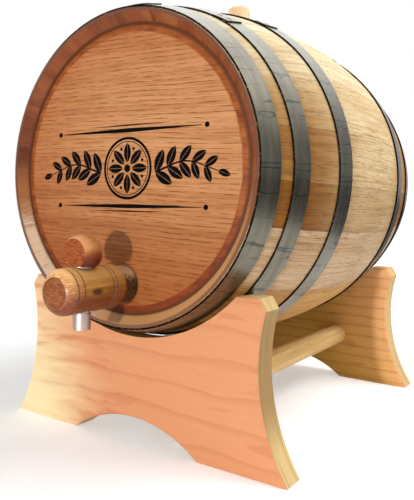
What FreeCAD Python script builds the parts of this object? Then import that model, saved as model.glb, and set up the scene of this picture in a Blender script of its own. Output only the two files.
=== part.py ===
import FreeCAD, Part
import math
import os

# A small coopered oak cask of about five litres that lies on a cradle stand and pours through a wooden
# spigot. The cask's axis runs along Y, its tapped head faces -Y, and +Z is up. Everything is modelled about
# the middle of the cask, with the floor at Z = 0, and is moved along Y on export, so that the origin lies on
# the floor in the middle of the whole part. Lengths are millimetres.

V = FreeCAD.Vector
CENTRE = V(0, 0, 0)
ALONG = V(0, 1, 0)
UP = V(0, 0, 1)

# Cask
cask_length = 250.0          # from chime to chime
bilge_radius = 105.0         # outside of the staves at mid length
chime_radius = 87.2          # outside of the staves at their ends
stave_thickness = 11.0
stave_joint = 0.05           # opening between two staves
stave_shares = [26, 24, 23, 17, 17, 15, 23, 21, 22, 21, 19, 23, 19, 25, 18, 22, 26]
bung_stave_middle = 90.0     # degrees from +X, where the first stave is centred
chime_land = 1.9             # flat left on the stave's end, outside the chime bevel
chime_bevel_slope = 1.2      # depth of the chime bevel per unit of radius

# Heads, let into the croze, the groove round the inside of the staves
croze_depth = 4.5            # how far the head's rim stands in the staves
head_thickness = 12.0
head_recess = 5.0            # from the end of the staves in to the head's outer face
head_rim = 3.5               # thickness left at the head's rim
front_bevel_width = 6.6
front_bevel_depth = 0.9
back_bevel_width = 8.5
croze_clearance = 0.15

# Hoops
hoop_thickness = 1.0
hoop_clearance = 0.1
hoop_lap = 15.0              # over which the strip's outer end climbs onto its inner end
hoops = {                    # outer edge from mid length, width, and the strip's free end in degrees from +X
    "head": (124.4, 13.4, 79.4),
    "quarter": (100.8, 12.8, 56.0),
    "bilge": (59.0, 13.8, 58.5),
}
rivet_radius = 1.5
rivet_head_radius = 2.4
rivet_head_height = 0.6
rivet_sink = 0.25            # depth of the spot face under a rivet's head
rivet_places = [3.8, 9.8]    # along the lap, from the free end

# Bung
bung_radius = 8.8            # widest
bung_widest = 3.0            # height of that place above the bilge
bung_top_radius = 7.4        # where the rounded top begins
bung_height = 18.4           # above the bilge
bung_rounding = 3.2
bung_taper = 0.09            # radius per unit of length, below the widest place
bung_reach = 4.0             # how far it stands into the cask
bung_clearance = 0.05

# Spigot, on a level axis through the front head
spigot_rise = 18.94          # above the head's lower edge
spigot_length = 51.0         # from the head's outer face to the end of the nose
spigot_radius = 12.0
nose_radius = 8.0            # flat end face of the nose
nose_rounding = 5.6          # length of the rounding behind the end face
shoulder_start = 9.8         # from the head's face out to the shoulder
shoulder_rounding = 2.6
shank_radius = 10.1          # at the head's outer face
shank_taper = 0.05           # radius per unit of length
shank_reach = 8.0            # how far the shank stands in behind the head
shank_clearance = 0.02
waterway_radius = 3.5
ring_grooves = [17.6, 20.2, 41.3, 45.6]   # turned grooves, from the head's face out
ring_groove_depth = 0.55
face_ring_radius = 7.2       # turned ring at the edge of the end face
face_ring_depth = 0.35

# Spigot key, on an upright axis through the body
key_station = 32.1           # from the head's outer face out to the key's axis
spout_radius = 4.6
spout_length = 20.5          # from the spigot's axis down to the mouth
spout_bore = 3.2
journal_radius = 4.2         # where the key turns in the liner
key_clearance = 0.05
port_radius = 2.3
port_roof = 2.2              # bore carried above the port's centre line
liner_wall = 1.9
liner_half = 9.6             # the liner's ends, from the spigot's axis
washer_radius = 5.0
seat_radius = 5.8            # flat seat sunk in the top of the body
seat_height = 11.2           # of the seat above the spigot's axis
washer_gap = 0.1
knob_radius = 10.2
knob_height = 18.6           # of its centre above the spigot's axis
knob_gap = 0.35              # between the top of the body and the underside of the knob
knob_flat = 6.3              # of its two flat faces from its centre
tang_radius = 3.4            # the key's end inside the knob
tang_depth = 10.0
tang_clearance = 0.02

# Stand
axis_height = 157.0          # of the cask's axis above the floor
plate_face = 111.8           # outer face of a plate, from mid length
plate_thickness = 16.0
plate_ease = 0.8             # eased edges
foot_inner = 45.3            # half width of the arch at the floor
arch_height = 15.3
waist_half = 81.8
waist_height = 58.0
waist_bow = 105.0            # radius of the plate's hollow side
horn_height = 91.9
horn_chamfer_width = 3.9
horn_chamfer_height = 6.2
cradle_clearance = 0.4       # between the plate's inner edge and the quarter hoop
cradle_flare = 0.09          # fall of the cradle's radius per unit of length, outwards
stretcher_radius = 7.5
stretcher_offset = 42.0      # from the middle plane
stretcher_height = 35.0      # above the floor
stretcher_socket = 8.0
socket_clearance = 0.02

overrun = 1.0                # how far a cutter runs past what it cuts

# Worked out from the sizes above
half_length = cask_length / 2
bow_rise = bilge_radius - chime_radius
bow_radius = (half_length ** 2 + bow_rise ** 2) / (2 * bow_rise)
head_face = half_length - head_recess
nose_end = head_face + spigot_length
cask_shift = (nose_end - half_length) / 2
key_y = -(head_face + key_station)
liner_radius = journal_radius + key_clearance + liner_wall
bung_foot = bilge_radius - stave_thickness - bung_reach


def bow(y, offset=0.0):
    """Radius at y of the arc that runs beside the staves' outer face, offset outwards."""
    return bilge_radius - bow_radius + math.sqrt((bow_radius + offset) ** 2 - y ** 2)


croze_station = head_face - front_bevel_depth - head_rim / 2
head_radius = bow(croze_station, -stave_thickness) + croze_depth
spigot_axis = axis_height - head_radius + spigot_rise


def bow_arc(start, end, offset):
    middle = (start + end) / 2
    points = [V(0, y, bow(y, offset)) for y in (start, middle, end)]
    return Part.Arc(*points).toShape()


def outline(points):
    """Closed straight-sided face in the plane of the cask's axis, from pairs of (y, radius)."""
    corners = [V(0, y, r) for y, r in points]
    return Part.Face(Part.makePolygon(corners + corners[:1]))


def turned(face, angle=360.0):
    return face.revolve(CENTRE, ALONG, angle)


def from_end(side, depth):
    """Y of a point at a depth in from the chime on the front (-1) or rear (+1) end."""
    return side * (half_length - depth)


def raised(shape, height=axis_height):
    lifted = shape.copy()
    lifted.translate(UP * height)
    return lifted


def fused(shapes):
    return shapes[0].fuse(shapes[1:]).removeSplitter()


def save(name, shape):
    placed = shape.copy()
    placed.translate(V(0, cask_shift, 0))
    placed.exportStep("parts/" + name + ".step")


# Heads and staves

def head_outline(side, growth=0.0):
    """Half section of a head, or of the space that the croze leaves round it."""
    front = head_recess
    rim_front = front + front_bevel_depth
    rim_back = rim_front + head_rim
    back = front + head_thickness
    profile = [
        (front - growth, 0.0),
        (front - growth, head_radius - front_bevel_width),
        (rim_front - growth, head_radius + growth),
        (rim_back + growth, head_radius + growth),
        (back + growth, head_radius - back_bevel_width),
        (back + growth, 0.0),
    ]
    return outline([(from_end(side, depth), radius) for depth, radius in profile])


def chime_outline(side):
    """What the chime bevel takes off the inside of the staves' ends."""
    lip = chime_radius - chime_land
    depth = head_recess + front_bevel_depth
    profile = [
        (-overrun, lip + overrun / chime_bevel_slope),
        (depth, lip - depth / chime_bevel_slope),
        (-overrun, 0.0),
    ]
    return outline([(from_end(side, d), radius) for d, radius in profile])


def stave_section():
    outer = bow_arc(-half_length, half_length, 0.0)
    inner = bow_arc(-half_length, half_length, -stave_thickness)
    ends = []
    for side in (-1, 1):
        y = side * half_length
        ends.append(Part.makeLine(V(0, y, bow(y)), V(0, y, bow(y, -stave_thickness))))
    blank = Part.Face(Part.Wire(Part.sortEdges([outer, inner] + ends)[0]))
    cutters = []
    for side in (-1, 1):
        cutters.append(chime_outline(side))
        cutters.append(head_outline(side, croze_clearance))
    return blank.cut(cutters).Faces[0]


def stave(section, start, end):
    """One stave between two angles from +X, opened by half a joint on each side."""
    trim = math.degrees(stave_joint / 2 / bilge_radius)
    piece = turned(section, end - start - 2 * trim)
    piece.rotate(CENTRE, ALONG, 90.0 - end + trim)
    return raised(piece)


def bung_cone(clearance, low, high):
    """Tapered plug on Z, from a low to a high level above the cask's axis."""
    widest = bilge_radius + bung_widest

    def radius(level):
        return bung_radius + clearance - bung_taper * (widest - level)
    return Part.makeCone(radius(low), radius(high), high - low, V(0, 0, low), UP)


def make_staves():
    section = stave_section()
    degrees_per_share = 360.0 / sum(stave_shares)
    end = bung_stave_middle + stave_shares[0] * degrees_per_share / 2
    for number, share in enumerate(stave_shares, start=1):
        start = end - share * degrees_per_share
        piece = stave(section, start, end)
        if number == 1:
            piece = piece.cut(raised(bung_cone(bung_clearance, bung_foot, bilge_radius + overrun)))
        save("stave_%02d" % number, piece)
        end = start


def shank_cone(clearance):
    """The spigot's tapered shank, from its inner end out to the shoulder, on the spigot's own axis."""
    inner_y = -(head_face - head_thickness - shank_reach)
    outer_y = -(head_face + shoulder_start + shoulder_rounding)
    inner_radius = shank_radius - shank_taper * (head_thickness + shank_reach) + clearance
    outer_radius = shank_radius + shank_taper * (shoulder_start + shoulder_rounding) + clearance
    return Part.makeCone(inner_radius, outer_radius, inner_y - outer_y, V(0, inner_y, 0), -ALONG)


def make_heads():
    rear = turned(head_outline(1))
    save("head_rear", raised(rear))
    front = raised(turned(head_outline(-1)))
    save("head_front", front.cut(raised(shank_cone(shank_clearance), spigot_axis)))


def make_bung():
    """The tapered plug, and a blunt top that narrows again above the stave."""
    widest = bilge_radius + bung_widest
    top = bilge_radius + bung_height
    shoulder = top - bung_rounding
    crown_radius = bung_top_radius - bung_rounding
    middle = bung_rounding * math.sin(math.radians(45))
    rounding = Part.Arc(
        V(bung_top_radius, 0, shoulder),
        V(crown_radius + middle, 0, shoulder + middle),
        V(crown_radius, 0, top),
    ).toShape()
    closing = Part.makePolygon([
        V(crown_radius, 0, top),
        V(0, 0, top),
        V(0, 0, widest),
        V(bung_radius, 0, widest),
        V(bung_top_radius, 0, shoulder),
    ])
    crown = Part.Face(Part.Wire([rounding] + closing.Edges)).revolve(CENTRE, UP, 360)
    save("bung", raised(fused([bung_cone(0.0, bung_foot, widest), crown])))


# Hoops

def band_outline(side, outer_edge, width, inner, outer):
    """Section of a hoop, a straight strip that leans with the staves."""
    near = side * (outer_edge - width)
    far = side * outer_edge
    low = bow(near) + hoop_clearance
    high = bow(far) + hoop_clearance
    return outline([(near, low + inner), (far, high + inner), (far, high + outer), (near, low + outer)])


def climbing_end(side, outer_edge, width, free_end):
    """The wedge by which the strip's outer end rises over its inner end, from nothing to its free end."""
    lap_angle = hoop_lap / bow(outer_edge)
    zone = band_outline(side, outer_edge, width, hoop_thickness / 2, 3 * hoop_thickness)
    zone = turned(zone, math.degrees(lap_angle))
    zone.rotate(CENTRE, ALONG, 90.0 - free_end - math.degrees(lap_angle))
    leaf = turned(band_outline(side, outer_edge, width, -hoop_thickness, hoop_thickness))
    towards = math.radians(free_end - 90.0) + lap_angle
    shift = hoop_thickness / math.sin(lap_angle)
    leaf.translate(V(math.cos(towards), 0, math.sin(towards)) * shift)
    return zone.common(leaf)


def rivet(cutter, side, outer_edge, width, free_end, place):
    """A domed rivet through the lap, or what it takes out of the hoop."""
    middle = side * (outer_edge - width / 2)
    lean = (bow(middle - width / 2) - bow(middle + width / 2)) / width
    base = (bow(outer_edge - width) + bow(outer_edge)) / 2 + hoop_clearance
    grip = hoop_thickness * (2 - place / hoop_lap) - rivet_sink
    if cutter:
        head = Part.makeCylinder(rivet_head_radius, hoop_thickness)
    else:
        ball = (rivet_head_radius ** 2 + rivet_head_height ** 2) / (2 * rivet_head_height)
        dome = Part.makeSphere(ball, V(0, 0, rivet_head_height - ball))
        head = dome.common(Part.makeCylinder(2 * rivet_head_radius, 2 * rivet_head_height))
    piece = fused([Part.makeCylinder(rivet_radius, grip), raised(head, grip)])
    piece.rotate(CENTRE, V(1, 0, 0), -math.degrees(math.atan(lean)))
    piece.translate(V(0, middle, base))
    piece.rotate(CENTRE, ALONG, 90.0 - free_end - math.degrees(place / base))
    return raised(piece)


def make_hoops():
    rivets = []
    for name, (outer_edge, width, free_end) in hoops.items():
        for side, end in ((-1, "front"), (1, "rear")):
            ring = turned(band_outline(side, outer_edge, width, 0.0, hoop_thickness))
            hoop = raised(ring.fuse(climbing_end(side, outer_edge, width, free_end)))
            for place in rivet_places:
                hoop = hoop.cut(rivet(True, side, outer_edge, width, free_end, place))
                rivets.append(rivet(False, side, outer_edge, width, free_end, place))
            save("hoop_" + name + "_" + end, hoop)
    save("hoop_rivets", Part.makeCompound(rivets))


# Spigot

def spigot_point(station, radius):
    return V(0, -(head_face + station), radius)


def spigot_blank():
    """The turned outside: shoulder, cylinder and a rounded nose that leaves the cylinder smoothly."""
    nose_start = spigot_length - nose_rounding
    nose_drop = spigot_radius - nose_radius
    nose_arc_radius = (nose_rounding ** 2 + nose_drop ** 2) / (2 * nose_drop)
    half_way = nose_rounding / 2
    nose = Part.Arc(
        spigot_point(nose_start, spigot_radius),
        spigot_point(nose_start + half_way,
                     spigot_radius - nose_arc_radius + math.sqrt(nose_arc_radius ** 2 - half_way ** 2)),
        spigot_point(spigot_length, nose_radius),
    ).toShape()
    bulge = math.sin(math.radians(45))
    back = spigot_radius - shoulder_rounding
    shoulder = Part.Arc(
        spigot_point(shoulder_start, back),
        spigot_point(shoulder_start + shoulder_rounding * (1 - bulge), back + shoulder_rounding * bulge),
        spigot_point(shoulder_start + shoulder_rounding, spigot_radius),
    ).toShape()
    side = Part.makeLine(shoulder.Vertexes[-1].Point, nose.Vertexes[0].Point)
    closing = Part.makePolygon([
        nose.Vertexes[-1].Point,
        spigot_point(spigot_length, 0),
        spigot_point(shoulder_start, 0),
        shoulder.Vertexes[0].Point,
    ])
    return turned(Part.Face(Part.Wire([shoulder, side, nose] + closing.Edges)))


def ring_groove(station):
    """Cutter for a square V groove round the spigot, as far above its surface as it is deep below."""
    depth = ring_groove_depth
    y = -(head_face + station)
    return turned(outline([
        (y - 2 * depth, spigot_radius + depth),
        (y, spigot_radius - depth),
        (y + 2 * depth, spigot_radius + depth),
    ]))


def face_ring():
    """The same kind of cutter for the ring in the spigot's end face."""
    depth = face_ring_depth
    return turned(outline([
        (-nose_end - depth, face_ring_radius - 2 * depth),
        (-nose_end + depth, face_ring_radius),
        (-nose_end - depth, face_ring_radius + 2 * depth),
    ]))


def waterway():
    inner_y = -(head_face - head_thickness - shank_reach)
    return Part.makeCylinder(waterway_radius, inner_y - key_y, V(0, inner_y, 0), -ALONG)


def on_key_axis(radius, low, high):
    """A cylinder on the key's axis, between two levels from the spigot's axis."""
    return Part.makeCylinder(radius, high - low, V(0, key_y, low), UP)


def make_spigot_body():
    body = fused([spigot_blank(), shank_cone(0.0)])
    body = body.cut([ring_groove(station) for station in ring_grooves] + [face_ring(), waterway()])
    top = spigot_radius + overrun
    liner_bore = on_key_axis(liner_radius, -top, liner_half)
    key_hole = on_key_axis(journal_radius + 2 * key_clearance, 0.0, top)
    seat = on_key_axis(seat_radius, seat_height, top)
    save("spigot_body", raised(body.cut([liner_bore, key_hole, seat]), spigot_axis))


def make_liner():
    sleeve = on_key_axis(liner_radius, -liner_half, liner_half)
    bore = on_key_axis(journal_radius + key_clearance, -liner_half, liner_half)
    window = Part.makeCylinder(waterway_radius, liner_radius + overrun, V(0, key_y, 0), ALONG)
    save("spigot_liner", raised(sleeve.cut([bore, window]), spigot_axis))


def make_key():
    """Solid above its port, hollow below it. A step under the body keeps it from being drawn upwards."""
    shoulder = -(spigot_radius + key_clearance)
    knob_base = spigot_radius + knob_gap
    outside = fused([
        on_key_axis(spout_radius, -spout_length, shoulder),
        on_key_axis(journal_radius, shoulder, seat_height + washer_gap),
        on_key_axis(tang_radius, seat_height + washer_gap, knob_base + tang_depth),
    ])
    mouth = on_key_axis(spout_bore, -spout_length, port_roof)
    port = Part.makeCylinder(port_radius, 2 * spout_radius, V(0, key_y, 0), V(1, 0, 0))
    save("key_tube", raised(outside.cut([mouth, port]), spigot_axis))

    washer = on_key_axis(washer_radius, seat_height + washer_gap, knob_base)
    hole = on_key_axis(tang_radius + tang_clearance, seat_height, knob_base)
    save("key_washer", raised(washer.cut(hole), spigot_axis))


def make_knob():
    """A ball turned on a level axis, left flat at both ends of the turning, and flattened below."""
    knob_base = spigot_radius + knob_gap
    ball = Part.makeSphere(knob_radius, V(0, key_y, knob_height))
    slab = Part.makeBox(2 * knob_radius, 2 * knob_flat, knob_height + knob_radius - knob_base)
    slab.translate(V(-knob_radius, key_y - knob_flat, knob_base))
    socket = on_key_axis(tang_radius + tang_clearance, knob_base, knob_base + tang_depth)
    save("key_knob", raised(ball.common(slab).cut(socket), spigot_axis))


# Stand

def half_width(height):
    """Half width of a plate: a hollow arc about the waist."""
    return waist_half + waist_bow - math.sqrt(waist_bow ** 2 - (height - waist_height) ** 2)


def plate_blank():
    """Upright outline of a plate before the cradle is cut, in the plane Y = 0, pushed towards +Y."""
    chamfer_base = horn_height - horn_chamfer_height
    horn_side = half_width(chamfer_base)
    horn_top = horn_side - horn_chamfer_width

    def half(side):
        """Foot, hollow side and horn chamfer, from the arch up to the middle of the top."""
        hollow = Part.Arc(
            V(side * half_width(0), 0, 0),
            V(side * waist_half, 0, waist_height),
            V(side * horn_side, 0, chamfer_base),
        )
        sole = Part.makeLine(V(side * foot_inner, 0, 0), V(side * half_width(0), 0, 0))
        top = Part.makePolygon([
            V(side * horn_side, 0, chamfer_base),
            V(side * horn_top, 0, horn_height),
            V(0, 0, horn_height),
        ])
        return [sole, hollow.toShape()] + top.Edges

    arch = Part.Arc(V(-foot_inner, 0, 0), V(0, 0, arch_height), V(foot_inner, 0, 0)).toShape()
    edges = Part.sortEdges([arch] + half(1) + half(-1))[0]
    blank = Part.Face(Part.Wire(edges)).extrude(ALONG * plate_thickness)
    middle = plate_thickness / 2
    rims = [edge for edge in blank.Edges if abs(edge.CenterOfMass.y - middle) > middle / 2]
    return blank.makeChamfer(plate_ease, rims)


def cradle_cut():
    """The flared seat that the quarter hoop rests in, between the plate's inner and outer face."""
    inner_y = plate_face - plate_thickness
    seat = bow(inner_y) + hoop_clearance + hoop_thickness + cradle_clearance
    wide = seat + cradle_flare * overrun
    narrow = seat - cradle_flare * (plate_thickness + overrun)
    start = V(0, inner_y - overrun, axis_height)
    return Part.makeCone(wide, narrow, plate_thickness + 2 * overrun, start, ALONG)


def make_plates():
    rear = plate_blank()
    rear.translate(ALONG * (plate_face - plate_thickness))
    rear = rear.cut(cradle_cut())
    sockets = []
    for side in (-1, 1):
        start = V(side * stretcher_offset, 0, stretcher_height)
        reach = plate_face - plate_thickness + stretcher_socket
        sockets.append(Part.makeCylinder(stretcher_radius + socket_clearance, reach, start, ALONG))
    rear = rear.cut(sockets)
    front = rear.mirror(CENTRE, ALONG)
    save("stand_plate_rear", rear)
    save("stand_plate_front", front)


def make_stretchers():
    reach = plate_face - plate_thickness + stretcher_socket - socket_clearance
    for side, name in ((-1, "left"), (1, "right")):
        start = V(side * stretcher_offset, -reach, stretcher_height)
        save("stretcher_" + name, Part.makeCylinder(stretcher_radius, 2 * reach, start, ALONG))


os.makedirs("parts", exist_ok=True)
make_staves()
make_heads()
make_bung()
make_hoops()
make_spigot_body()
make_liner()
make_key()
make_knob()
make_plates()
make_stretchers()
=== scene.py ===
# %% [markdown]
# # A small oak cask on its stand
# This lesson dresses a small drink cask: seventeen oak staves held by six steel hoops, a tapped front head
# with a wooden spigot, a bung on top, and a pine stand of two shaped plates joined by round rails. The
# solids are already made in CAD. Here they get their wood, steel and wax, a printed ornament, light and a
# camera. The CAD model is loaded first and stays as it is, and the finishes take their sizes from it.

# %% Load the solids
import math
import bpy
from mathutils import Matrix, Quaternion, Vector


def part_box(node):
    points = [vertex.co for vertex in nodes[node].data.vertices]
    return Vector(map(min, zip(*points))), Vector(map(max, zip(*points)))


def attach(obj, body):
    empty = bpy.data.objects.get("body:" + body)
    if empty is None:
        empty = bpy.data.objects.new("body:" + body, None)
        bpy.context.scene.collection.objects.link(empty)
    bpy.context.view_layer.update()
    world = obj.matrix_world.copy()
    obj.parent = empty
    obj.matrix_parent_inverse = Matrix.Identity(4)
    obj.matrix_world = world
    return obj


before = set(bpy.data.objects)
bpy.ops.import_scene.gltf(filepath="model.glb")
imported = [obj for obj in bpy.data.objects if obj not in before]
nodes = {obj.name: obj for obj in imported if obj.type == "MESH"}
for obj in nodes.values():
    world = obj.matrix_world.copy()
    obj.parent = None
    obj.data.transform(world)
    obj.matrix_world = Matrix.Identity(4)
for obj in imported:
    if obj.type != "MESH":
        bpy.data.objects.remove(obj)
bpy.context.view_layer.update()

# %% [markdown]
# ## Measures
# The sizes that the finishes need are read off the solids, so the dressing follows the model. The cask's
# axis runs along Y, through the middle of the front head. A head never goes in quite straight: its grain is
# turned two degrees clockwise, and the print was set level afterwards.

# %% Measure the cask and the spigot
mm = 0.001
head_low, head_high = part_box("head_front")
axis_height = (head_low.z + head_high.z) / 2
head_radius = (head_high.z - head_low.z) / 2
head_face = head_low.y
stave_low, stave_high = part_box("stave_01")
front_end = stave_low.y
rear_end = stave_high.y
middle_y = (front_end + rear_end) / 2
half_length = (rear_end - front_end) / 2
end_corners = [v.co for v in nodes["stave_01"].data.vertices if v.co.y < front_end + 0.1 * mm]
chime_radius = max(math.hypot(c.x, c.z - axis_height) for c in end_corners)
bilge_radius = stave_high.z - axis_height
spigot_low, spigot_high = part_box("spigot_body")
spigot_radius = (spigot_high.x - spigot_low.x) / 2
spigot_height = spigot_high.z - spigot_radius
grain_turn = math.radians(2.0)
print("cask axis at", round(axis_height, 4), "head radius", round(head_radius, 4))
print("chime radius", round(chime_radius, 4), "bilge radius", round(bilge_radius, 4))

# %% [markdown]
# ## Camera
# The camera stands close to the cask, a little to the right of its axis and almost level with it, so the
# near end looks much larger than the far end. The lens is given by its focal length in picture heights.

# %% Place the camera
camera_turn = math.radians(33.865)
camera_rise = math.radians(2.187)
camera_roll = math.radians(1.0)
camera_distance = 0.43337
aim = Vector((-0.01833, 0.01069, 0.12008))
focal_in_heights = 596.51 / 500
sensor = 36.0
picture_shift = (0.00506, -0.03816)

away = Vector((
    math.sin(camera_turn) * math.cos(camera_rise),
    -math.cos(camera_turn) * math.cos(camera_rise),
    math.sin(camera_rise),
))
camera_data = bpy.data.cameras.new("camera")
camera_data.sensor_width = sensor
camera_data.lens = focal_in_heights * sensor
camera_data.shift_x, camera_data.shift_y = picture_shift
camera_data.clip_start = 0.01
camera = bpy.data.objects.new("camera", camera_data)
bpy.context.scene.collection.objects.link(camera)
camera.location = aim + away * camera_distance
camera.rotation_mode = "QUATERNION"
camera.rotation_quaternion = (-away).to_track_quat("-Z", "Y") @ Quaternion((0, 0, 1), camera_roll)
bpy.context.scene.camera = camera
print("camera at", [round(v, 3) for v in camera.location], "lens", round(camera_data.lens, 2))

# %% [markdown]
# ## Colours and nodes
# A colour is given as a screen value, such as #c98a5c. The shader works in linear light, so one
# function turns the one into the other. Another adds a node, fills its inputs with values or with links,
# sets its options and hands back the output that is wanted. Every finish below is made with these two.

# %% Colour and node
def linear(code):
    """Screen colour such as #c98a5c as a linear colour with alpha."""
    parts = [int(code[i:i + 2], 16) / 255 for i in (1, 3, 5)]
    return [p / 12.92 if p <= 0.04045 else ((p + 0.055) / 1.055) ** 2.4 for p in parts] + [1.0]


def add(tree, kind, inputs=None, out=0, stops=None, **options):
    """Add a node with its inputs and options set, and give back one of its outputs."""
    node = tree.nodes.new("ShaderNode" + kind)
    for name, value in options.items():
        setattr(node, name, value)
    for socket, value in (inputs or {}).items():
        if isinstance(value, bpy.types.NodeSocket):
            tree.links.new(value, node.inputs[socket])
        else:
            node.inputs[socket].default_value = value
    if stops:
        ramp = node.color_ramp
        while len(ramp.elements) < len(stops):
            ramp.elements.new(0.5)
        for element, (place, colour) in zip(ramp.elements, stops):
            element.position = place
            element.color = linear(colour)
    return node.outputs[out] if len(node.outputs) else node


# %% [markdown]
# ## Building up a finish
# Wood and steel are painted here in layers, as a maker stains and wears them, and some layers are painted
# light and painted shade: a ground colour, then thinner layers on top. `grain` gives a pattern at a real
# size, long one way for fibres and round for clouds. `tint` lays one tone over what is there, where a
# measure says so. A measure is a length on the object, such as how far a point lies from the cask's axis,
# which `about_axis` works out, or from a groove, which `apart` works out.

# %% Patterns, layers and measures
def grain(tree, place, size, seed=0.0, detail=3.0, rough=0.5):
    """Pattern from 0 to 1 whose features are about size long along X, Y and Z, in metres."""
    scaled = add(tree, "Mapping", {"Vector": place, "Scale": [1 / length for length in size]})
    inputs = {"Vector": scaled, "W": seed, "Scale": 1.0, "Detail": detail, "Roughness": rough}
    return add(tree, "TexNoise", inputs, noise_dimensions="4D")


def tint(tree, colour, tone, measure, start, finish, strength=1.0, mode="MIX"):
    """Lay a tone over a colour, not at all where the measure is start, in full where it is finish."""
    cover = add(tree, "MapRange", {0: measure, 1: start, 2: finish, 3: 0.0, 4: strength},
                interpolation_type="SMOOTHSTEP")
    return add(tree, "Mix", {0: cover, 6: colour, 7: tone}, 2, data_type="RGBA", blend_type=mode)


def about_axis(tree, place, height):
    """Distance from the level axis along Y at this height, and the unit direction away from it."""
    spoke = add(tree, "Mapping", {"Vector": place, "Location": (0, 0, -height), "Scale": (1, 0, 1)})
    radius = add(tree, "VectorMath", {0: spoke}, "Value", operation="LENGTH")
    return radius, add(tree, "VectorMath", {0: spoke}, operation="NORMALIZE")


def apart(tree, measure, mark):
    """How far a measure lies from a mark, to either side."""
    gap = add(tree, "Math", {0: measure, 1: mark}, operation="SUBTRACT")
    return add(tree, "Math", {0: gap}, operation="ABSOLUTE")


# %% [markdown]
# A material begins with an empty tree and the place of each point on the piece. It ends with the surface
# shader. Fine relief, such as open pores, is a bump in that shader.

# %% Begin, end and dress
def begin(name):
    """A new material, its empty tree, and the place of each point."""
    material = bpy.data.materials.new(name)
    material.use_nodes = True
    tree = material.node_tree
    tree.nodes.clear()
    return material, tree, add(tree, "TexCoord", out="Object")


def end(tree, colour, roughness, relief, depth, **fixed):
    """The surface shader with its bump, and the output."""
    bump = add(tree, "Bump", {"Strength": 1.0, "Distance": depth, "Height": relief})
    inputs = {"Base Color": colour, "Roughness": roughness, "Normal": bump}
    inputs.update({name.replace("_", " "): value for name, value in fixed.items()})
    add(tree, "OutputMaterial", {"Surface": add(tree, "BsdfPrincipled", inputs)})


def dress(names, material):
    """Give these solids one material."""
    for name in names:
        nodes[name].data.materials.clear()
        nodes[name].data.materials.append(material)
    print(material.name, "on", len(names), "solids")


# %% [markdown]
# ## Oak staves
# The staves are bare planed oak. Oak has long fine fibres and short dark pores along the stave, and each
# stave is cut from another plank, so its tone differs from its neighbours'. The staves near the top are
# also given paler tones, which is painted light from above. The pores are 0.2 mm wide, too fine to show
# here, so they are drawn nearly three times as wide. Each stave is painted a darker amber towards its
# ends, less so on top, which is painted shade, so a stave is palest at its middle. Bare wood is open and
# rough, which leaves it almost no shine.
#
# A stave is bent, and its fibres bend with it. The pattern is therefore read as if the cask were a straight
# tube: the way out from the axis gives the place round it, and Y the place along it.

# %% Stave tones and grain sizes
streak = (2.2 * mm, 150 * mm, 2.2 * mm)
fibre = (0.8 * mm, 34 * mm, 0.8 * mm)
pore = (0.55 * mm, 8 * mm, 0.55 * mm)
cloud = (26 * mm, 80 * mm, 26 * mm)
end_shade_start = 0.15 * half_length
end_shade_full = 0.7 * half_length
stave_tones_and_shades = [              # the stave's tone, paler near the top as painted light, and how much painted end shade it takes, from 0 to 1
    ("#fcf3d4", 0.5), ("#fcf1cf", 0.5), ("#f7e6bc", 0.7), ("#f2dbaf", 0.85), ("#ebd1a4", 0.9),
    ("#dabd90", 1.0), ("#e2c5a0", 0.15), ("#e0b068", 0.25), ("#cfa568", 0.6), ("#c9a06c", 0.5),
    ("#c29c6a", 0.6), ("#c9a473", 0.4), ("#bf9a68", 0.7), ("#cfab7c", 0.4), ("#d9b585", 0.5),
    ("#ecd6aa", 0.4), ("#f3e2b8", 0.5),
]


def along_stave(tree, outward, along):
    """Place on the cask as if it were a straight tube."""
    spokes = add(tree, "VectorMath", {0: outward, 1: [bilge_radius] * 3}, operation="MULTIPLY")
    return add(tree, "VectorMath", {0: spokes, 1: add(tree, "CombineXYZ", {1: along})}, operation="ADD")


# %% [markdown]
# A stave's two joints are planes through the cask's axis, found from its own corners. The coopers drove
# them tight, so a joint shows only as a broken thin dark line.

# %% Find a stave's joints
joint_width = 0.3 * mm


def joint_planes(node):
    """Unit normals of the planes through the cask's axis that bound this stave."""
    corners = [v.co for v in nodes[node].data.vertices]
    middle = sum((Vector((c.x, 0, c.z - axis_height)) for c in corners), Vector()).normalized()
    side = Vector((-middle.z, 0, middle.x))
    turns = []
    for corner in corners:
        spoke = Vector((corner.x, 0, corner.z - axis_height))
        turns.append(math.atan2(spoke.dot(side), spoke.dot(middle)))
    return [side * math.cos(turn) - middle * math.sin(turn) for turn in (min(turns), max(turns))]


def draw_joints(tree, colour, place, node):
    """A thin broken dark line along both joints of a stave."""
    from_axis = add(tree, "Mapping", {"Vector": place, "Location": (0, 0, -axis_height)})
    breaks = grain(tree, place, (30 * mm, 14 * mm, 30 * mm), 5)
    for normal in joint_planes(node):
        off = add(tree, "VectorMath", {0: from_axis, 1: normal}, "Value", operation="DOT_PRODUCT")
        line = add(tree, "MapRange", {0: apart(tree, off, 0.0), 1: joint_width, 2: joint_width / 3})
        line = add(tree, "Math", {0: line, 1: breaks}, operation="MULTIPLY")
        colour = tint(tree, colour, linear("#4a3018"), line, 0.35, 0.65, 0.75)
    return colour


# %% [markdown]
# The ends of the staves, the chime, are cut to a bevel, stained red brown and scraped, with marks that run
# towards the axis. The outside of a stave is told from its chime by its facing: it points away from the
# axis. The stain has worn off along the bottom. It is painted more tan on the left, which is painted
# light, and nearly white at the lower left, which is a painted sheen. The chime is painted darkest down
# in the corner where it meets the head, which is painted shade. The narrow flat that is left outside the
# bevel is knocked and handled most, which has turned it a dull dark brown.

# %% Chime finish
worn_way = Vector((0.5, 0, -0.87))
sheen_way = Vector((-0.68, 0, -0.73))
lit_left_way = Vector((-0.9, 0, -0.43))
corner_shade_start = 4.2 * mm      # depths in from the end of the stave
corner_shade_full = 5.9 * mm
flat_start = chime_radius - 2.2 * mm
flat_full = chime_radius - 1.5 * mm


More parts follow.
